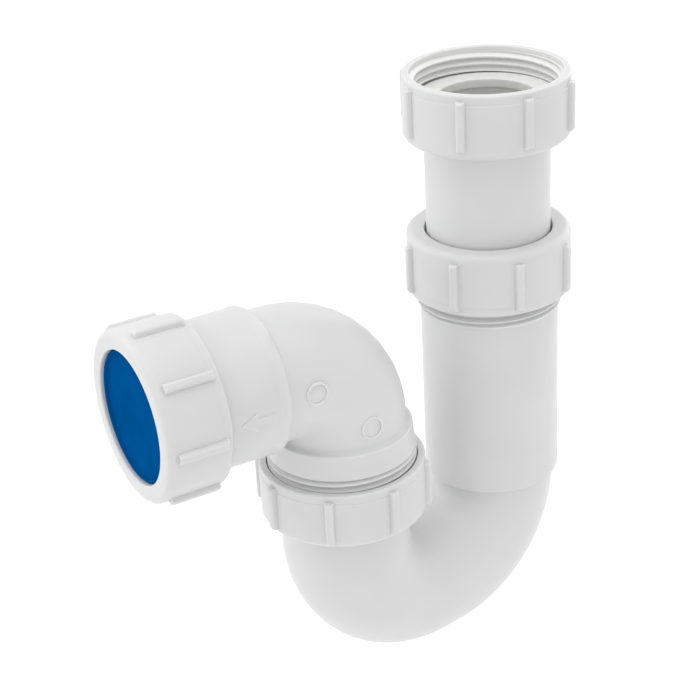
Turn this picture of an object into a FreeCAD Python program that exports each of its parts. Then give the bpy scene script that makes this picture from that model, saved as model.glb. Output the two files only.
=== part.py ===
import FreeCAD, Part
import math
import os

import Sketcher

# An adjustable-inlet tubular P trap in white polypropylene, 1 1/2 inch, with a blue transit blank
# in its outlet. Millimetres. The origin is the centre of the coupling nut's open mouth, +Z runs up
# the inlet axis, and the U-bend runs from the inlet axis along -X to the union axis.

os.makedirs("parts", exist_ok=True)
doc = FreeCAD.newDocument("p_trap")
sheet = doc.addObject("Spreadsheet::Sheet", "dims")

SIZES = [
    # G 1 1/2 style threads, 11 per inch, cut with moulding clearance
    ("pitch", 2.309),
    ("male_crest", 23.75),
    ("male_root", 22.2),
    ("female_crest", 22.5),
    ("female_root", 24.05),
    ("tooth_tip", 0.40),
    ("flank_slope", 0.466),
    ("flank_gap", 0.20),
    ("thread_lead", 1.75),
    # hand nuts
    ("nut_radius", 26.55),
    ("nut_height", 20.6),
    ("nut_hole", 20.6),
    ("nut_lip", 4.2),
    ("nut_corner_round", 2.0),
    ("nut_band", 3.1),
    ("nut_band_step", 0.16),
    ("nut_rim_round", 0.6),
    ("nut_relief", 24.1),
    ("short_thread", 8.2),
    ("long_thread", 9.4),
    ("lead_in", 1.6),
    ("lead_slope", 0.7),
    ("lug_length", 15.7),
    ("lug_from_mouth", 1.8),
    ("lug_base", 3.4),
    ("lug_top", 2.3),
    ("lug_proud", 1.75),
    ("lug_round", 0.9),
    ("edge_round", 0.5),
    # inlet tube, its flange and washer
    ("tube_outside", 20.0),
    ("tube_bore", 18.0),
    ("tube_end", 104.0),
    ("flange_radius", 22.3),
    ("washer_top", 8.13),
    ("washer_thick", 3.0),
    ("washer_hole", 15.6),
    ("washer_radius", 22.35),
    # height-adjusting joint on the leg, measured down from the inlet nut's mouth
    ("height_mouth", 72.6),
    ("leg_radius", 22.5),
    ("leg_bore", 20.4),
    ("leg_step", 139.8),
    ("leg_thread_low", 78.0),
    ("leg_run_out", 79.2),
    ("mouth_cone", 2.4),
    # slip rings and seals of the two pipe joints, measured back from the nut's lip face
    ("ring_from_face", 4.5),
    ("ring_thick", 2.3),
    ("ring_bore", 20.15),
    ("ring_radius", 23.6),
    ("seal_from_face", 7.0),
    ("seal_bore", 20.05),
    ("seal_radius", 22.0),
    ("spigot_from_face", 10.4),
    # U-bend
    ("axis_spacing", 65.58),
    ("bend_radius", 29.29),
    ("bend_outside", 20.7),
    ("bend_bore", 18.4),
    ("union_flange_top", 120.8),
    ("union_flange_thick", 3.0),
    # union joint
    ("union_mouth", 110.5),
    ("union_nut_height", 18.5),
    ("union_nut_lip", 2.4),
    ("union_lug_length", 14.7),
    ("union_hole", 22.6),
    ("union_washer_thick", 2.0),
    ("union_washer_hole", 18.5),
    ("split_ring_top", 124.0),
    ("split_ring_thick", 2.2),
    ("split_ring_bore", 20.95),
    ("split_ring_radius", 23.9),
    ("split_ring_gap", 6.0),
    # outlet elbow
    ("elbow_end", 118.7),
    ("elbow_axis", 75.1),
    ("elbow_radius", 21.4),
    ("elbow_outside", 20.8),
    ("elbow_bore", 18.2),
    ("collar_top", 98.8),
    ("collar_top_radius", 22.75),
    ("collar_bottom", 106.7),
    ("collar_bottom_radius", 23.5),
    ("collar_fillet", 1.5),
    ("union_ridge_top", 107.2),
    ("socket_radius", 23.0),
    ("socket_bore", 20.3),
    ("socket_stop", 31.0),
    ("socket_ridge", 23.4),
    ("socket_start", 27.0),
    ("socket_shoulder_round", 1.2),
    ("socket_neck_fillet", 0.8),
    ("outlet_face", 69.8),
    ("mark_radius", 3.7),
    ("mark_width", 0.65),
    ("mark_proud", 0.25),
    # blue blank
    ("blank_rim", 20.3),
    ("blank_face", 68.7),
    ("blank_recess", 19.35),
    ("blank_recess_depth", 1.2),
    ("blank_skirt", 19.95),
    ("blank_skirt_end", 57.5),
    ("blank_wall", 1.6),
]
for row, (alias, value) in enumerate(SIZES, start=1):
    sheet.set(f"A{row}", alias)
    sheet.set(f"B{row}", str(value))
    sheet.setAlias(f"B{row}", alias)
doc.recompute()

OUTLET_SWING = 170.26  # direction of the outlet about the union axis, degrees from +X
LUG_COUNT = 8


class Size:
    """A value with the sheet expression that gives it."""

    def __init__(self, value, text):
        self.value = value
        self.text = text

    def __add__(self, other):
        other = as_size(other)
        return Size(self.value + other.value, f"({self.text} + {other.text})")

    def __sub__(self, other):
        other = as_size(other)
        return Size(self.value - other.value, f"({self.text} - {other.text})")

    def __mul__(self, other):
        other = as_size(other)
        return Size(self.value * other.value, f"({self.text} * {other.text})")

    def __neg__(self):
        return Size(-self.value, f"(0 - {self.text})")


def as_size(thing):
    return thing if isinstance(thing, Size) else Size(float(thing), f"({thing})")


D = {alias: Size(value, f"dims.{alias}") for alias, value in SIZES}


# ---- building blocks ----


def new_body(label):
    body = doc.addObject("PartDesign::Body", label)
    body.Label = label
    return body


def new_sketch(body, name, role="XZ_Plane", lift=None):
    """A sketch on one of the body's own origin planes, lifted along the plane's normal."""
    sketch = body.newObject("Sketcher::SketchObject", name)
    plane = [f for f in body.Origin.OriginFeatures if f.Role == role][0]
    sketch.AttachmentSupport = [(plane, "")]
    sketch.MapMode = "FlatFace"
    if lift is not None:
        sketch.setExpression("AttachmentOffset.Base.z", lift.text)
    return sketch


def bind(sketch, geometry, point, kind, axis, size):
    """Tie one coordinate of a sketch point to the sheet, or to the axis itself where it is nought."""
    size = as_size(size)
    if size.value == 0:
        sketch.addConstraint(Sketcher.Constraint("PointOnObject", geometry, point, axis))
        return
    index = sketch.addConstraint(Sketcher.Constraint(kind, geometry, point, size.value))
    sketch.setExpression(f"Constraints[{index}]", size.text)


def bind_point(sketch, geometry, point, x, y):
    bind(sketch, geometry, point, "DistanceX", -2, x)
    bind(sketch, geometry, point, "DistanceY", -1, y)


def vector(x, y):
    return FreeCAD.Vector(as_size(x).value, as_size(y).value, 0)


def outline(sketch, points):
    """A closed polygon whose every corner is tied to the sheet."""
    first = sketch.GeometryCount
    count = len(points)
    for i, point in enumerate(points):
        sketch.addGeometry(Part.LineSegment(vector(*point), vector(*points[(i + 1) % count])))
    for i, point in enumerate(points):
        following = first + (i + 1) % count
        sketch.addConstraint(Sketcher.Constraint("Coincident", first + i, 2, following, 1))
        bind_point(sketch, first + i, 1, *point)


def rings(sketch, x, y, *radii):
    for radius in radii:
        circle = Part.Circle(vector(x, y), FreeCAD.Vector(0, 0, 1), radius.value)
        index = sketch.addGeometry(circle)
        bind_point(sketch, index, 3, x, y)
        held = sketch.addConstraint(Sketcher.Constraint("Radius", index, radius.value))
        sketch.setExpression(f"Constraints[{held}]", radius.text)


def level_axis(sketch, height):
    """A construction line along the sketch's X at a height, used as a turning axis."""
    line = Part.LineSegment(vector(1, height), vector(30, height))
    index = sketch.addGeometry(line, True)
    bind_point(sketch, index, 1, 1, height)
    bind_point(sketch, index, 2, 30, height)
    return (sketch, ["Axis0"])


def revolve(body, name, sketch, axis=None, cut=False):
    kind = "PartDesign::Groove" if cut else "PartDesign::Revolution"
    feature = body.newObject(kind, name)
    feature.Profile = sketch
    feature.ReferenceAxis = axis or (sketch, ["V_Axis"])
    feature.Angle = 360
    doc.recompute()
    return feature


def extrude(body, name, sketch, length, cut=False):
    feature = body.newObject("PartDesign::Pocket" if cut else "PartDesign::Pad", name)
    feature.Profile = sketch
    feature.Length = length.value
    feature.setExpression("Length", length.text)
    doc.recompute()
    return feature


def thread(body, name, sketch, axis, height, cut=False):
    kind = "PartDesign::SubtractiveHelix" if cut else "PartDesign::AdditiveHelix"
    feature = body.newObject(kind, name)
    feature.Profile = sketch
    feature.ReferenceAxis = axis
    feature.Mode = 0
    feature.Pitch = D["pitch"].value
    feature.Height = as_size(height).value
    feature.setExpression("Pitch", D["pitch"].text)
    doc.recompute()
    return feature


def sweep(body, name, profile, path):
    feature = body.newObject("PartDesign::AdditivePipe", name)
    feature.Profile = profile
    feature.Spine = (path, [f"Edge{i + 1}" for i in range(path.GeometryCount)])
    doc.recompute()
    return feature


def edges_where(feature, test):
    """Names of the feature's edges whose every sampled point passes the test."""
    names = []
    for i, edge in enumerate(feature.Shape.Edges, start=1):
        points = edge.discretize(Number=5)
        if all(test(p) for p in points):
            names.append(f"Edge{i}")
    return names


def round_edges(body, name, base, names, radius):
    feature = body.newObject("PartDesign::Fillet", name)
    feature.Base = (base, names)
    feature.Radius = radius.value
    feature.setExpression("Radius", radius.text)
    doc.recompute()
    return feature


def tooth(radius_in, radius_out, extra):
    """Half widths of the thread form at two radii; extra widens it for the matching groove."""
    tip = D["tooth_tip"] * 0.5 + extra
    inner = tip + (D["male_crest"] - radius_in) * D["flank_slope"]
    outer = tip + (D["male_crest"] - radius_out) * D["flank_slope"]
    return inner, outer


def upright_tooth(sketch, radius_in, radius_out, height, extra=0.0):
    """The thread form beside a vertical axis, centred on a height."""
    inner, outer = tooth(radius_in, radius_out, as_size(extra))
    height = as_size(height)
    outline(
        sketch,
        [
            (radius_in, height - inner),
            (radius_out, height - outer),
            (radius_out, height + outer),
            (radius_in, height + inner),
        ],
    )


def level_tooth(sketch, radius_in, radius_out, along, axis_height):
    """The thread form above a level axis, centred on a distance along it."""
    inner, outer = tooth(radius_in, radius_out, as_size(0.0))
    along = as_size(along)
    outline(
        sketch,
        [
            (along - inner, axis_height + radius_in),
            (along + inner, axis_height + radius_in),
            (along + outer, axis_height + radius_out),
            (along - outer, axis_height + radius_out),
        ],
    )


def place(body, x, y, z, rotation=None):
    body.Placement = FreeCAD.Placement(
        FreeCAD.Vector(as_size(x).value, as_size(y).value, as_size(z).value),
        rotation or FreeCAD.Rotation(),
    )


def turned(axis, degrees):
    return FreeCAD.Rotation(FreeCAD.Vector(*axis), degrees)


# ---- hand nuts ----


PLAIN_NUT = (D["nut_height"], D["nut_lip"], D["lug_length"])
SHALLOW_NUT = (D["union_nut_height"], D["union_nut_lip"], D["union_lug_length"])


def hand_nut(label, proportions, hole, thread_depth, helix_low, helix_height):
    """A lugged nut with its mouth at z = 0 and its lip face at -height."""
    height, lip_depth, lug_length = proportions
    body = new_body(label)
    radius = D["nut_radius"]
    face = -height
    band = radius - D["nut_band_step"]
    shelf = face + lip_depth
    relief = D["nut_relief"]
    crest = D["female_crest"]
    profile = new_sketch(body, f"{label}_profile")
    outline(
        profile,
        [
            (hole, face),
            (radius, face),
            (radius, -D["nut_band"]),
            (band, -D["nut_band"] + 0.15),
            (band, 0.0),
            (relief, 0.0),
            (relief, -D["lead_in"]),
            (crest, -(D["lead_in"] + D["lead_slope"])),
            (crest, -thread_depth),
            (relief, -(thread_depth + D["lead_slope"])),
            (relief, shelf),
            (hole, shelf),
        ],
    )
    plain = revolve(body, f"{label}_turned", profile)

    def at(p, r, z):
        return abs(p.z - z.value) < 0.01 and abs(math.hypot(p.x, p.y) - r.value) < 0.01

    rim = edges_where(plain, lambda p: at(p, band, as_size(0.0)))
    rimmed = round_edges(body, f"{label}_rim_round", plain, rim, D["nut_rim_round"])
    corner = edges_where(rimmed, lambda p: at(p, radius, face))
    cornered = round_edges(body, f"{label}_corner_round", rimmed, corner, D["nut_corner_round"])
    lip = edges_where(cornered, lambda p: at(p, hole, face))
    round_edges(body, f"{label}_lip_round", cornered, lip, D["edge_round"])

    lug = new_sketch(body, f"{label}_lug_profile", "XY_Plane", -(D["lug_from_mouth"] + lug_length))
    outer = radius + D["lug_proud"]
    outline(
        lug,
        [
            (radius - 1.0, -D["lug_base"] * 0.5),
            (outer, -D["lug_top"] * 0.5),
            (outer, D["lug_top"] * 0.5),
            (radius - 1.0, D["lug_base"] * 0.5),
        ],
    )
    one = extrude(body, f"{label}_lug", lug, lug_length)
    around = body.newObject("PartDesign::PolarPattern", f"{label}_lugs")
    around.Originals = [one]
    around.Axis = (lug, ["N_Axis"])
    around.Angle = 360
    around.Occurrences = LUG_COUNT
    body.Tip = around
    doc.recompute()
    lug_tops = edges_where(around, lambda p: math.hypot(p.x, p.y) > outer.value - 0.15)
    round_edges(body, f"{label}_lug_rounds", around, lug_tops, D["lug_round"])

    groove = new_sketch(body, f"{label}_groove_profile")
    low = as_size(helix_low)
    upright_tooth(groove, crest - 0.3, D["female_root"], -low, D["flank_gap"])
    thread(body, f"{label}_thread", groove, (groove, ["V_Axis"]), helix_height, cut=True)
    return body


def trim(body, name, points, axis_height=None):
    """A turned cut that takes a thread ridge back at one of its ends."""
    cutter = new_sketch(body, name + "_profile")
    if axis_height is None:
        outline(cutter, points)
        return revolve(body, name, cutter, cut=True)
    axis = level_axis(cutter, axis_height)
    outline(cutter, points)
    return revolve(body, name, cutter, axis, cut=True)


# The ridge of every male thread starts in its body's own XZ plane. Each nut is turned about its axis
# to bring its lugs to rest, so its groove starts at the height that keeps it in step with the ridge.
COUPLING_NUT_TURN = 28.9
HEIGHT_NUT_TURN = -22.0
UNION_NUT_TURN = 41.0
OUTLET_NUT_TURN = 40.0
LEG_RIDGE = -79.70
UNION_RIDGE = -117.815
OUTLET_RIDGE = 51.8
COUPLING_GROOVE = -4.35
PITCH = D["pitch"].value


def groove_start(in_step, thread_depth):
    """The first height in step with the ridge that lies clear in the relief below the nut's thread."""
    clear = -(thread_depth + D["lead_slope"] + 1.15).value
    return in_step - math.ceil((in_step - clear) / PITCH) * PITCH


def threaded_nut(label, proportions, hole, thread_depth, in_step):
    low = groove_start(in_step, thread_depth)
    return hand_nut(label, proportions, hole, thread_depth, -low, -low - 0.8)


coupling_nut = threaded_nut(
    "coupling_nut", PLAIN_NUT, D["nut_hole"], D["short_thread"], COUPLING_GROOVE
)
height_nut = threaded_nut(
    "height_nut",
    PLAIN_NUT,
    D["nut_hole"],
    D["long_thread"],
    -D["height_mouth"].value - LEG_RIDGE + PITCH * HEIGHT_NUT_TURN / 360,
)
union_nut = threaded_nut(
    "union_nut",
    SHALLOW_NUT,
    D["union_hole"],
    D["short_thread"],
    D["union_mouth"].value + UNION_RIDGE + PITCH * (UNION_NUT_TURN - OUTLET_SWING) / 360,
)
outlet_mouth = D["outlet_face"] - D["nut_height"]
outlet_nut = threaded_nut(
    "outlet_nut",
    PLAIN_NUT,
    D["nut_hole"],
    D["long_thread"],
    outlet_mouth.value - OUTLET_RIDGE - PITCH * OUTLET_NUT_TURN / 360,
)

# ---- turned pieces ----


def turned_piece(label, points):
    body = new_body(label)
    profile = new_sketch(body, f"{label}_profile")
    outline(profile, points)
    revolve(body, f"{label}_turned", profile)
    return body


def washer(label, hole, radius, top, thick):
    soft = 0.25
    return turned_piece(
        label,
        [
            (hole, -top - soft),
            (hole + soft, -top),
            (radius - soft, -top),
            (radius, -top - soft),
            (radius, -top - thick + soft),
            (radius - soft, -top - thick),
            (hole + soft, -top - thick),
            (hole, -top - thick + soft),
        ],
    )


flange_top = D["washer_top"] + D["washer_thick"]
flange_under = D["nut_height"] - D["nut_lip"] - 0.3
inlet_tube = turned_piece(
    "inlet_tube",
    [
        (D["tube_bore"], -flange_top),
        (D["flange_radius"] - 0.4, -flange_top),
        (D["flange_radius"], -flange_top - 0.4),
        (D["flange_radius"], -flange_under),
        (D["tube_outside"], -flange_under),
        (D["tube_outside"], -D["tube_end"] + 0.8),
        (D["tube_outside"] - 0.8, -D["tube_end"]),
        (D["tube_bore"], -D["tube_end"]),
    ],
)
inlet_washer = washer(
    "inlet_washer", D["washer_hole"], D["washer_radius"], D["washer_top"], D["washer_thick"]
)
union_washer = washer(
    "union_washer",
    D["union_washer_hole"],
    D["flange_radius"],
    D["union_flange_top"] - D["union_washer_thick"],
    D["union_washer_thick"],
)


def slip_ring(label, at):
    """at turns a distance back from the nut's lip face into a height on the piece's own axis."""
    soft = 0.3
    near = D["ring_from_face"]
    far = near + D["ring_thick"]
    return turned_piece(
        label,
        [
            (D["ring_bore"], at(near)),
            (D["ring_radius"] - soft, at(near)),
            (D["ring_radius"], at(near + soft)),
            (D["ring_radius"], at(far)),
            (D["ring_bore"] + soft, at(far)),
            (D["ring_bore"], at(far - soft)),
        ],
    )


def seal(label, at):
    """A rubber ring whose tapered tail sits in the cone of the spigot's mouth."""
    near = D["seal_from_face"]
    seat = D["spigot_from_face"]
    tip = seat + D["mouth_cone"] - 0.2
    return turned_piece(
        label,
        [
            (D["seal_bore"], at(near)),
            (D["seal_radius"] - 0.4, at(near)),
            (D["seal_radius"], at(near + 0.4)),
            (D["seal_radius"], at(seat)),
            (D["seal_radius"] - 0.5, at(seat)),
            (D["socket_bore"] + 0.05, at(tip)),
            (D["seal_bore"], at(tip)),
        ],
    )


height_face = D["height_mouth"] - D["nut_height"]


def on_leg(distance):
    return -(height_face + distance)


def on_outlet(distance):
    return D["outlet_face"] - distance


height_slip_ring = slip_ring("height_slip_ring", on_leg)
height_seal = seal("height_seal", on_leg)
outlet_slip_ring = slip_ring("outlet_slip_ring", on_outlet)
outlet_seal = seal("outlet_seal", on_outlet)

union_split_ring = turned_piece(
    "union_split_ring",
    [
        (D["split_ring_bore"], -D["split_ring_top"]),
        (D["split_ring_radius"], -D["split_ring_top"]),
        (D["split_ring_radius"], -D["split_ring_top"] - D["split_ring_thick"]),
        (D["split_ring_bore"], -D["split_ring_top"] - D["split_ring_thick"]),
    ],
)
gap = new_sketch(union_split_ring, "split_ring_gap_profile", "XY_Plane", -D["split_ring_top"])
half_gap = D["split_ring_gap"] * 0.5
outline(gap, [(15.0, -half_gap), (30.0, -half_gap), (30.0, half_gap), (15.0, half_gap)])
extrude(union_split_ring, "split_ring_gap", gap, D["split_ring_thick"], cut=True)

face = D["blank_face"]
floor = face - D["blank_recess_depth"]
inside = D["blank_skirt"] - D["blank_wall"]
under_rim = D["outlet_face"] - D["nut_lip"]
outlet_blank = turned_piece(
    "outlet_blank",
    [
        (0.0, floor),
        (D["blank_recess"] - 0.8, floor),
        (D["blank_recess"] - 0.25, floor + 0.25),
        (D["blank_recess"], floor + 0.8),
        (D["blank_recess"] + 0.15, face - 0.1),
        (D["blank_recess"] + 0.35, face),
        (D["blank_rim"] - 0.3, face),
        (D["blank_rim"], face - 0.3),
        (D["blank_rim"], under_rim),
        (D["blank_skirt"], under_rim),
        (D["blank_skirt"], D["blank_skirt_end"] + 0.6),
        (D["blank_skirt"] - 0.4, D["blank_skirt_end"]),
        (inside, D["blank_skirt_end"]),
        (inside, floor - D["blank_wall"] - 0.6),
        (inside - 0.6, floor - D["blank_wall"]),
        (0.0, floor - D["blank_wall"]),
    ],
)


# ---- trap body: leg, U-bend and union flange ----


def swept_path(body, name, runs, bends, radius):
    """Straight runs in the XZ plane joined by quarter bends, each a centre and a first angle."""
    path = new_sketch(body, name)
    for begin, finish in runs:
        index = path.addGeometry(Part.LineSegment(vector(*begin), vector(*finish)))
        bind_point(path, index, 1, *begin)
        bind_point(path, index, 2, *finish)
    for i, (centre, angle) in enumerate(bends):
        circle = Part.Circle(vector(*centre), FreeCAD.Vector(0, 0, 1), radius.value)
        arc = Part.ArcOfCircle(circle, math.radians(angle), math.radians(angle + 90))
        index = path.addGeometry(arc)
        held = path.addConstraint(Sketcher.Constraint("Radius", index, radius.value))
        path.setExpression(f"Constraints[{held}]", radius.text)
        path.addConstraint(Sketcher.Constraint("Coincident", i, 2, index, 2))
        path.addConstraint(Sketcher.Constraint("Coincident", i + 1, 1, index, 1))
    return path


def leg_ridge_trims(body, top):
    outer = D["male_crest"] + 1.0
    low = -D["leg_run_out"]
    trim(
        body,
        "leg_run_out",
        [
            (D["leg_radius"], low - 3.0),
            (outer, low - 3.0),
            (outer, low + 2.4 + 1.0),
            (D["male_crest"], low + 2.4),
            (D["leg_radius"], low),
        ],
    )
    trim(
        body,
        "leg_lead",
        [
            (D["male_root"] - 0.6, top),
            (D["male_root"] - 0.3, top),
            (D["male_crest"] + 0.2, top - D["thread_lead"]),
            (outer, top - D["thread_lead"]),
            (outer, top + 3.0),
            (D["male_root"] - 0.6, top + 3.0),
        ],
    )


trap_body = new_body("trap_body")
leg_top = on_leg(D["spigot_from_face"])
leg_foot = -D["leg_step"]
leg = new_sketch(trap_body, "leg_profile")
outline(
    leg,
    [
        (D["seal_radius"] - 0.4, leg_top),
        (D["male_root"] - 0.3, leg_top),
        (D["male_root"], leg_top - 0.3),
        (D["male_root"], -D["leg_thread_low"]),
        (D["leg_radius"], -D["leg_thread_low"] - 0.6),
        (D["leg_radius"], leg_foot + 0.9),
        (D["leg_radius"] - 0.8, leg_foot),
        (D["bend_bore"], leg_foot),
        (D["bend_bore"], leg_foot + 1.2),
        (D["leg_bore"], leg_foot + 3.2),
        (D["leg_bore"], leg_top - D["mouth_cone"]),
    ],
)
revolve(trap_body, "leg_turned", leg)
ridge = new_sketch(trap_body, "leg_ridge_profile")
upright_tooth(ridge, D["male_root"] - 0.4, D["male_crest"], LEG_RIDGE)
thread(trap_body, "leg_ridge", ridge, (ridge, ["V_Axis"]), leg_top.value - LEG_RIDGE - 0.3)
leg_ridge_trims(trap_body, leg_top)

spacing = D["axis_spacing"]
bend = D["bend_radius"]
low = leg_foot - bend
ubend_path = swept_path(
    trap_body,
    "ubend_path",
    [
        ((0.0, leg_foot + 1.0), (0.0, leg_foot)),
        ((-bend, low), (-(spacing - bend), low)),
        ((-spacing, leg_foot), (-spacing, -D["union_flange_top"])),
    ],
    [((-bend, leg_foot), -90), ((-(spacing - bend), leg_foot), 180)],
    bend,
)
bore = new_sketch(trap_body, "ubend_section", "XY_Plane", leg_foot + 1.0)
rings(bore, 0.0, 0.0, D["bend_outside"], D["bend_bore"])
sweep(trap_body, "ubend", bore, ubend_path)
flange = new_sketch(
    trap_body, "union_flange_profile", "XY_Plane", -(D["union_flange_top"] + D["union_flange_thick"])
)
rings(flange, -spacing, 0.0, D["flange_radius"], D["bend_bore"])
extrude(trap_body, "union_flange", flange, D["union_flange_thick"])

# ---- outlet elbow: union collar, bend and threaded socket ----
elbow = new_body("outlet_elbow")
elbow_low = -D["elbow_end"]
collar = new_sketch(elbow, "collar_profile")
outline(
    collar,
    [
        (D["elbow_bore"], elbow_low),
        (D["male_root"] - 0.4, elbow_low),
        (D["male_root"], elbow_low + 0.4),
        (D["male_root"], -D["collar_bottom"] - 0.6),
        (D["collar_bottom_radius"] - 0.1, -D["collar_bottom"]),
        (D["collar_bottom_radius"], -D["collar_bottom"] + 0.4),
        (D["collar_top_radius"] + 0.15, -D["collar_top"] - 2.6),
        (D["collar_top_radius"], -D["collar_top"]),
        (D["elbow_outside"] - 0.6, -D["collar_top"] + 0.4),
        (D["elbow_bore"], -D["collar_top"] + 0.4),
    ],
)
collar_turned = revolve(elbow, "collar_turned", collar)


def on_collar_top(p):
    near = abs(math.hypot(p.x, p.y) - D["collar_top_radius"].value) < 0.01
    return near and abs(p.z + D["collar_top"].value) < 0.01


round_edges(
    elbow, "collar_round", collar_turned, edges_where(collar_turned, on_collar_top), D["edge_round"]
)
ridge = new_sketch(elbow, "union_ridge_profile")
upright_tooth(ridge, D["male_root"] - 0.4, D["male_crest"], UNION_RIDGE)
thread(elbow, "union_ridge", ridge, (ridge, ["V_Axis"]), -UNION_RIDGE - D["union_ridge_top"].value)
trim(
    elbow,
    "union_lead",
    [
        (D["male_root"] - 0.4, elbow_low),
        (D["male_crest"] + 0.2, elbow_low + D["thread_lead"]),
        (D["male_crest"] + 1.0, elbow_low + D["thread_lead"]),
        (D["male_crest"] + 1.0, elbow_low - 3.0),
        (D["male_root"] - 0.4, elbow_low - 3.0),
    ],
)

axis_level = -D["elbow_axis"]
turn = D["elbow_radius"]
elbow_path = swept_path(
    elbow,
    "elbow_path",
    [
        ((0.0, -D["collar_top"] - 2.0), (0.0, axis_level - turn)),
        ((turn, axis_level), (D["socket_stop"] - 1.0, axis_level)),
    ],
    [((turn, axis_level - turn), 90)],
    turn,
)
section = new_sketch(elbow, "elbow_section", "XY_Plane", -D["collar_top"] - 2.0)
rings(section, 0.0, 0.0, D["elbow_outside"], D["elbow_bore"])
elbow_bend = sweep(elbow, "elbow_bend", section, elbow_path)


def under_bend(p):
    near = abs(math.hypot(p.x, p.y) - D["elbow_outside"].value) < 0.01
    return near and 0.05 < p.z + D["collar_top"].value < 0.5


round_edges(
    elbow, "bend_fillet", elbow_bend, edges_where(elbow_bend, under_bend), D["collar_fillet"]
)

socket = new_sketch(elbow, "socket_profile")
level = level_axis(socket, axis_level)
start = D["socket_start"]
end = D["outlet_face"] - D["spigot_from_face"]
outline(
    socket,
    [
        (start, axis_level + D["elbow_bore"]),
        (start, axis_level + D["elbow_outside"] - 0.3),
        (start + 0.9, axis_level + D["socket_radius"] - 0.5),
        (start + 2.6, axis_level + D["socket_ridge"]),
        (start + 5.0, axis_level + D["socket_radius"] + 0.05),
        (OUTLET_RIDGE - 1.0, axis_level + D["socket_radius"]),
        (OUTLET_RIDGE - 0.3, axis_level + D["male_root"]),
        (end - 0.3, axis_level + D["male_root"]),
        (end, axis_level + D["male_root"] - 0.3),
        (end, axis_level + D["seal_radius"] - 0.4),
        (end - D["mouth_cone"], axis_level + D["socket_bore"]),
        (D["socket_stop"], axis_level + D["socket_bore"]),
        (D["socket_stop"], axis_level + D["elbow_bore"]),
    ],
)
socket_turned = revolve(elbow, "socket_turned", socket, level)


def on_shoulder(p):
    far = math.hypot(p.y, p.z - axis_level.value)
    back = abs(p.x - start.value - 0.9) < 0.01 and abs(far - D["socket_radius"].value + 0.5) < 0.01
    return back or (abs(p.x - start.value - 2.6) < 0.01 and abs(far - D["socket_ridge"].value) < 0.01)


def on_neck(p):
    far = math.hypot(p.y, p.z - axis_level.value)
    return 0 < p.x - start.value < 0.3 and abs(far - D["elbow_outside"].value) < 0.01


socket_round = round_edges(
    elbow,
    "socket_round",
    socket_turned,
    edges_where(socket_turned, on_shoulder),
    D["socket_shoulder_round"],
)
round_edges(
    elbow, "neck_fillet", socket_round, edges_where(socket_round, on_neck), D["socket_neck_fillet"]
)
ridge = new_sketch(elbow, "outlet_ridge_profile")
level = level_axis(ridge, axis_level)
level_tooth(ridge, D["male_root"] - 0.4, D["male_crest"], OUTLET_RIDGE, axis_level)
thread(elbow, "outlet_ridge", ridge, level, end.value - OUTLET_RIDGE - 0.3)
trim(
    elbow,
    "outlet_lead",
    [
        (end, axis_level + D["male_root"] - 0.6),
        (end, axis_level + D["male_root"] - 0.3),
        (end - D["thread_lead"], axis_level + D["male_crest"] + 0.2),
        (end - D["thread_lead"], axis_level + D["male_crest"] + 1.0),
        (end + 3.0, axis_level + D["male_crest"] + 1.0),
        (end + 3.0, axis_level + D["male_root"] - 0.6),
    ],
    axis_level,
)

MARKS = [(18.4, -74.1), (0.33, -91.45)]
for number, (x, z) in enumerate(MARKS, start=1):
    mark = new_sketch(elbow, f"mark_{number}_profile", "XZ_Plane", -(D["elbow_outside"] + D["mark_proud"]))
    rings(mark, x, z, D["mark_radius"], D["mark_radius"] - D["mark_width"])
    extrude(elbow, f"mark_{number}", mark, as_size(1.3))
arrow = new_sketch(elbow, "arrow_profile", "XZ_Plane", -(D["socket_radius"] + D["mark_proud"]))
outline(
    arrow,
    [
        (45.0, axis_level - 0.8),
        (39.6, axis_level + 2.2),
        (39.6, axis_level + 0.3),
        (33.3, axis_level + 0.3),
        (33.3, axis_level - 1.9),
        (39.6, axis_level - 1.9),
        (39.6, axis_level - 3.8),
    ],
)
extrude(elbow, "flow_arrow", arrow, as_size(1.5))

# ---- rest positions ----
swing = turned((0, 0, 1), OUTLET_SWING)
outward = swing.multVec(FreeCAD.Vector(1, 0, 0))
upward = FreeCAD.Vector(0, 0, 1)
on_axis = FreeCAD.Vector(-spacing.value, 0, axis_level.value)
mouth_at = on_axis + outward * outlet_mouth.value

place(coupling_nut, 0, 0, 0, turned((0, 0, 1), COUPLING_NUT_TURN))
flip = turned((1, 0, 0), 180)
place(height_nut, 0, 0, -D["height_mouth"], flip.multiply(turned((0, 0, 1), HEIGHT_NUT_TURN)))
place(union_nut, -spacing, 0, -D["union_mouth"], turned((0, 0, 1), UNION_NUT_TURN))
place(elbow, -spacing, 0, 0, swing)
place(union_split_ring, -spacing, 0, 0, swing)
place(union_washer, -spacing, 0, 0)
along_outlet = FreeCAD.Rotation(upward, outward)
for body in (outlet_slip_ring, outlet_seal, outlet_blank):
    place(body, on_axis.x, on_axis.y, on_axis.z, along_outlet)
lug_way = turned(tuple(outward), OUTLET_NUT_TURN).multVec(upward)
back = outward * -1
place(
    outlet_nut,
    mouth_at.x,
    mouth_at.y,
    mouth_at.z,
    FreeCAD.Rotation(lug_way, back.cross(lug_way), back, "ZXY"),
)

# ---- report and export ----
doc.recompute()
bodies = [obj for obj in doc.Objects if obj.TypeId == "PartDesign::Body"]
for body in bodies:
    for feature in body.Group:
        if "Invalid" in feature.State or "Error" in feature.State:
            raise RuntimeError(f"{feature.Name} is {feature.State}")
    if body.Shape.isNull() or not body.Shape.isValid() or len(body.Shape.Solids) != 1:
        raise RuntimeError(f"{body.Label} has no valid single solid")
    body.Shape.exportStep(f"parts/{body.Label}.step")
    print(body.Label, round(body.Shape.Volume, 1), len(body.Shape.Faces))
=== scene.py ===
import math

import bpy
from mathutils import Matrix, Vector


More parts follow.
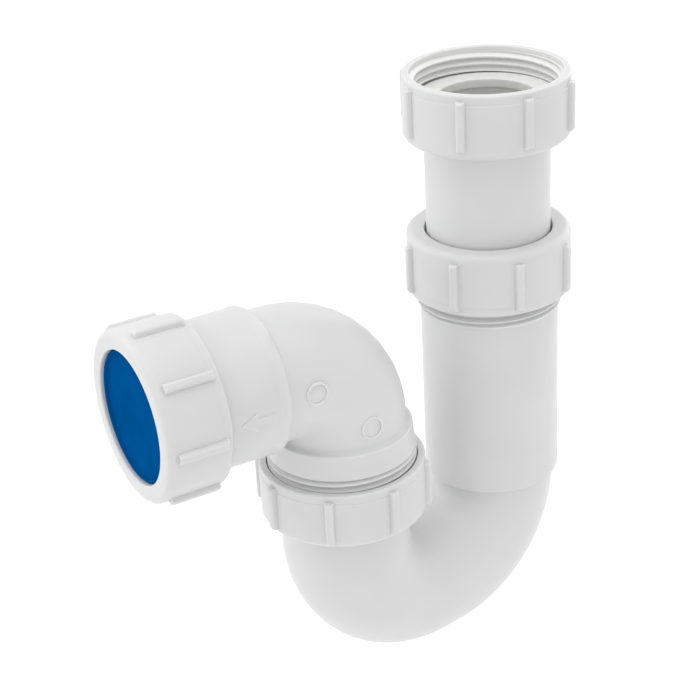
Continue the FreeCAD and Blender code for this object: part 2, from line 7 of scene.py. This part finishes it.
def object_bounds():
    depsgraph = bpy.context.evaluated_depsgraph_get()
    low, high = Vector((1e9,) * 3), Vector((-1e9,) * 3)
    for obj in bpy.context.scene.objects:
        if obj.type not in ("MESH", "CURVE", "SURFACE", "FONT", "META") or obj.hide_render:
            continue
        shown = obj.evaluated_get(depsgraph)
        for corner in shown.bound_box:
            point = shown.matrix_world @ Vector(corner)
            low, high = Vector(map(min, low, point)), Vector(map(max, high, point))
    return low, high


# An adjustable-inlet P trap in white polypropylene with a blue transit blank, in metres.
# Every visible solid comes from the CAD frame. This script gives them their materials, and adds
# the studio and the camera.

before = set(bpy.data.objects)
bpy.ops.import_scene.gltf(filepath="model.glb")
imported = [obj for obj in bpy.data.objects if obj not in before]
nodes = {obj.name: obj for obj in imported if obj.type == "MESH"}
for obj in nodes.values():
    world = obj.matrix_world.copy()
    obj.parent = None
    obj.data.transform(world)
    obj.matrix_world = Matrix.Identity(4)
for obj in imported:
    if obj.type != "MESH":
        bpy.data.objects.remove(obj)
cad_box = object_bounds()

MM = 0.001

# the camera's place in metres, its angles in degrees, its lens and sensor in millimetres
CAMERA_PLACE = Vector((-0.3710, -0.3839, 0.1723))
CAMERA_AZIMUTH = -39.01
CAMERA_ELEVATION = 26.65
CAMERA_ROLL = -3.03
CAMERA_LENS = 91.85
SENSOR = 36.0
NEAR_CLIP = 10 * MM

FLOOR_SIZE = 6.0
FLOOR_DROP = 90 * MM
WORLD_STRENGTH = 0.89

# the darker and the paler tone that each material clouds between
BODY_TONES = ((0.665, 0.667, 0.666), (0.69, 0.692, 0.691))
NUT_TONES = ((0.66, 0.663, 0.661), (0.69, 0.692, 0.69))
WASHER_TONES = ((0.72, 0.72, 0.705), (0.77, 0.77, 0.755))
RUBBER_TONES = ((0.018, 0.018, 0.02), (0.035, 0.035, 0.037))
RING_TONES = ((0.66, 0.67, 0.655), (0.74, 0.745, 0.73))
BLUE_TONES = ((0.0, 0.07, 0.245), (0.0, 0.086, 0.29))
PAPER_TONES = ((0.95, 0.95, 0.95), (0.965, 0.965, 0.965))

# the radius about a moulding's axis within which its inside gets a paler colour, and that colour:
# painted light that lifts the shade in the bore
TUBE_BORE_PAINTED_LIGHT = (18.6 * MM, (0.93, 0.93, 0.92))
INLET_NUT_BORE_PAINTED_LIGHT = (24.2 * MM, (0.82, 0.822, 0.815))
BORE_PAINTED_LIGHT_BLUR = 0.4 * MM

BODY_ROUGHNESS = 0.36
NUT_ROUGHNESS = 0.4


# ---- node helpers ----


class Shader:
    """A Principled material, and short ways to add nodes to it."""

    def __init__(self, name, roughness, ior=1.49):
        self.material = bpy.data.materials.new(name)
        self.material.use_nodes = True
        self.tree = self.material.node_tree
        self.surface = self.tree.nodes["Principled BSDF"]
        self.surface.inputs["Roughness"].default_value = roughness
        self.surface.inputs["IOR"].default_value = ior
        self.place = self.add("ShaderNodeTexCoord").outputs["Object"]

    def translucent(self, depth, weight):
        """Let light spread a depth in metres under the surface, as it does in pale mouldings."""
        self.surface.inputs["Subsurface Weight"].default_value = weight
        self.surface.inputs["Subsurface Radius"].default_value = (1.0, 1.0, 1.0)
        self.surface.inputs["Subsurface Scale"].default_value = depth

    def add(self, kind, **settings):
        node = self.tree.nodes.new(kind)
        for name, value in settings.items():
            setattr(node, name, value)
        return node

    def link(self, source, target):
        self.tree.links.new(source, target)

    def noise(self, size, detail=3.0, roughness=0.5):
        """Noise whose lumps are about size across, in metres."""
        node = self.add("ShaderNodeTexNoise")
        node.inputs["Scale"].default_value = 1 / size
        node.inputs["Detail"].default_value = detail
        node.inputs["Roughness"].default_value = roughness
        self.link(self.place, node.inputs["Vector"])
        return node.outputs["Fac"]

    def ramp(self, source, tones, start=0.3, end=0.7):
        """A colour that runs from the first tone to the second as source goes from start to end."""
        node = self.add("ShaderNodeValToRGB")
        first, last = node.color_ramp.elements
        first.position, last.position = start, end
        first.color, last.color = (*tones[0], 1), (*tones[1], 1)
        self.link(source, node.inputs["Fac"])
        return node.outputs["Color"]

    def spread(self, source, low, high, start=0.3, end=0.7):
        """A number that runs from low to high as source goes from start to end."""
        node = self.add("ShaderNodeMapRange")
        ends = {"From Min": start, "From Max": end, "To Min": low, "To Max": high}
        for name, value in ends.items():
            node.inputs[name].default_value = value
        self.link(source, node.inputs["Value"])
        return node.outputs["Result"]

    def blend(self, amount, first, second):
        """The first colour where amount is nought, the second where it is one."""
        node = self.add("ShaderNodeMix", data_type="RGBA")
        self.link(amount, node.inputs["Factor"])
        self.link(first, node.inputs["A"])
        node.inputs["B"].default_value = (*second, 1)
        return node.outputs["Result"]

    def inside(self, radius):
        """One within a radius of the object's Z axis, nought outside it."""
        flat = self.add("ShaderNodeVectorMath", operation="MULTIPLY")
        flat.inputs[1].default_value = (1, 1, 0)
        self.link(self.place, flat.inputs[0])
        length = self.add("ShaderNodeVectorMath", operation="LENGTH")
        self.link(flat.outputs["Vector"], length.inputs[0])
        distance = length.outputs["Value"]
        return self.spread(distance, 1.0, 0.0, radius - BORE_PAINTED_LIGHT_BLUR, radius + BORE_PAINTED_LIGHT_BLUR)

    def bump(self, source, height, below=None):
        """Relief of a height in metres, over any relief below it."""
        node = self.add("ShaderNodeBump")
        node.inputs["Distance"].default_value = height
        self.link(source, node.inputs["Height"])
        if below is not None:
            self.link(below, node.inputs["Normal"])
        return node.outputs["Normal"]


def dress(material, *names):
    """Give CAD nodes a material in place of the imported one."""
    for name in names:
        for slot in nodes[name].material_slots:
            slot.material = material


# ---- materials ----


def white_polypropylene(name, tones, roughness, bore=None):
    """Moulded white plastic: faintly clouded, satin, with a fine grain and slow sink waves.

    A bore is a radius, and the paler colour painted within it: painted light that brightens the
    shaded inside of the bore.
    """
    shader = Shader(name, roughness)
    shader.translucent(depth=1.2 * MM, weight=0.55)
    clouds = shader.noise(size=26 * MM, detail=2.0)
    colour = shader.ramp(clouds, tones)
    if bore is not None:
        # painted light: inside the bore radius the colour turns paler, so the shaded bore reads
        # brighter
        radius, bore_painted_light = bore
        colour = shader.blend(shader.inside(radius), colour, bore_painted_light)
    shader.link(colour, shader.surface.inputs["Base Color"])
    patches = shader.noise(size=7 * MM, detail=4.0, roughness=0.6)
    polish = shader.spread(patches, low=roughness - 0.05, high=roughness + 0.06)
    shader.link(polish, shader.surface.inputs["Roughness"])
    waves = shader.bump(shader.noise(size=9 * MM, detail=1.0), height=0.10 * MM)
    grain = shader.bump(shader.noise(size=0.28 * MM, detail=2.0), height=0.006 * MM, below=waves)
    shader.link(grain, shader.surface.inputs["Normal"])
    return shader.material


def washer_plastic():
    """Soft off-white sheet with a dull, faintly mottled face."""
    shader = Shader("washer_polyethylene", roughness=0.55)
    shader.translucent(depth=2 * MM, weight=0.5)
    mottle = shader.noise(size=3 * MM, detail=4.0)
    colour = shader.ramp(mottle, WASHER_TONES)
    shader.link(colour, shader.surface.inputs["Base Color"])
    grain = shader.bump(shader.noise(size=0.5 * MM, detail=3.0), height=0.02 * MM)
    shader.link(grain, shader.surface.inputs["Normal"])
    return shader.material


def seal_rubber():
    """Black moulded rubber with a dusty bloom."""
    shader = Shader("black_rubber", roughness=0.62, ior=1.52)
    bloom = shader.noise(size=5 * MM, detail=5.0, roughness=0.6)
    colour = shader.ramp(bloom, RUBBER_TONES)
    shader.link(colour, shader.surface.inputs["Base Color"])
    polish = shader.spread(bloom, low=0.55, high=0.72)
    shader.link(polish, shader.surface.inputs["Roughness"])
    grain = shader.bump(shader.noise(size=0.4 * MM, detail=3.0), height=0.015 * MM)
    shader.link(grain, shader.surface.inputs["Normal"])
    return shader.material


def ring_plastic():
    """Natural polyethylene, waxier and greyer than the fitting itself."""
    shader = Shader("natural_polyethylene", roughness=0.4)
    clouds = shader.noise(size=6 * MM, detail=3.0)
    colour = shader.ramp(clouds, RING_TONES)
    shader.link(colour, shader.surface.inputs["Base Color"])
    grain = shader.bump(shader.noise(size=0.35 * MM, detail=2.0), height=0.01 * MM)
    shader.link(grain, shader.surface.inputs["Normal"])
    return shader.material


def blue_plastic():
    """Thin blue moulding with a dead matt face and faint flow clouding."""
    shader = Shader("blue_polyethylene", roughness=0.42)
    shader.surface.inputs["Specular IOR Level"].default_value = 0.0
    flow = shader.noise(size=12 * MM, detail=4.0, roughness=0.55)
    colour = shader.ramp(flow, BLUE_TONES)
    shader.link(colour, shader.surface.inputs["Base Color"])
    polish = shader.spread(flow, low=0.36, high=0.5)
    shader.link(polish, shader.surface.inputs["Roughness"])
    waves = shader.bump(shader.noise(size=5 * MM, detail=1.0), height=0.05 * MM)
    grain = shader.bump(shader.noise(size=0.3 * MM, detail=2.0), height=0.008 * MM, below=waves)
    shader.link(grain, shader.surface.inputs["Normal"])
    return shader.material


body_white = white_polypropylene("white_polypropylene", BODY_TONES, BODY_ROUGHNESS)
# the tube and the coupling nut carry painted light in their bores
tube_white_painted_bore_light = white_polypropylene("tube_polypropylene_painted_bore_light", BODY_TONES, BODY_ROUGHNESS, TUBE_BORE_PAINTED_LIGHT)
nut_white = white_polypropylene("nut_polypropylene", NUT_TONES, NUT_ROUGHNESS)
inlet_nut_white_painted_bore_light = white_polypropylene(
    "inlet_nut_polypropylene_painted_bore_light", NUT_TONES, NUT_ROUGHNESS, INLET_NUT_BORE_PAINTED_LIGHT
)
dress(body_white, "trap_body", "outlet_elbow")
dress(tube_white_painted_bore_light, "inlet_tube")
dress(inlet_nut_white_painted_bore_light, "coupling_nut")
dress(nut_white, "height_nut", "union_nut", "outlet_nut")
dress(washer_plastic(), "inlet_washer", "union_washer")
dress(seal_rubber(), "height_seal", "outlet_seal")
dress(ring_plastic(), "height_slip_ring", "outlet_slip_ring", "union_split_ring")
dress(blue_plastic(), "outlet_blank")


# ---- studio ----


def studio_floor():
    """A plain pale sheet below the hanging trap."""
    bpy.ops.mesh.primitive_plane_add(size=FLOOR_SIZE)
    floor = bpy.context.active_object
    floor.name = "floor"
    floor.location.z = cad_box[0][2] - FLOOR_DROP
    shader = Shader("pale_paper", roughness=0.9)
    fibres = shader.noise(size=60 * MM, detail=3.0)
    colour = shader.ramp(fibres, PAPER_TONES)
    shader.link(colour, shader.surface.inputs["Base Color"])
    floor.data.materials.append(shader.material)


def toward(azimuth, elevation):
    """The unit vector from the object towards a light or the camera, from angles in degrees."""
    a, e = math.radians(azimuth), math.radians(elevation)
    return Vector((math.sin(a) * math.cos(e), -math.cos(a) * math.cos(e), math.sin(e)))


def softbox(name, azimuth, elevation, distance, size, watts):
    """A square area light, facing the middle of the object."""
    light = bpy.data.lights.new(name, "AREA")
    light.shape = "SQUARE"
    light.size = size
    light.energy = watts
    lamp = bpy.data.objects.new(name, light)
    middle = (Vector(cad_box[0]) + Vector(cad_box[1])) / 2
    lamp.location = middle + toward(azimuth, elevation) * distance
    lamp.rotation_euler = toward(azimuth, elevation).to_track_quat("Z", "Y").to_euler()
    bpy.context.scene.collection.objects.link(lamp)


def studio_lights():
    """Three large softboxes in a white room."""
    softbox("top_softbox", azimuth=-60, elevation=82, distance=1.2, size=1.2, watts=4.4)
    softbox("left_softbox", azimuth=-140, elevation=20, distance=1.3, size=1.0, watts=2.8)
    softbox("right_softbox", azimuth=100, elevation=15, distance=1.3, size=1.0, watts=3.6)
    world = bpy.data.worlds.new("studio")
    bpy.context.scene.world = world
    world.use_nodes = True
    background = world.node_tree.nodes["Background"]
    background.inputs["Color"].default_value = (1, 1, 1, 1)
    background.inputs["Strength"].default_value = WORLD_STRENGTH
    bpy.context.scene.view_settings.view_transform = "Standard"


def camera():
    """The camera at its place and angles, rolled about its own axis."""
    data = bpy.data.cameras.new("camera")
    data.sensor_width = SENSOR
    data.lens = CAMERA_LENS
    data.clip_start = NEAR_CLIP
    back = toward(CAMERA_AZIMUTH, CAMERA_ELEVATION)
    level = Vector((0, 0, 1)).cross(back).normalized()
    roll = Matrix.Rotation(math.radians(CAMERA_ROLL), 3, back)
    right = roll @ level
    up = back.cross(right)
    eye = bpy.data.objects.new("camera", data)
    turn = Matrix((right, up, back)).transposed().to_4x4()
    eye.matrix_world = Matrix.Translation(CAMERA_PLACE) @ turn
    bpy.context.scene.collection.objects.link(eye)
    bpy.context.scene.camera = eye


studio_floor()
studio_lights()
camera()
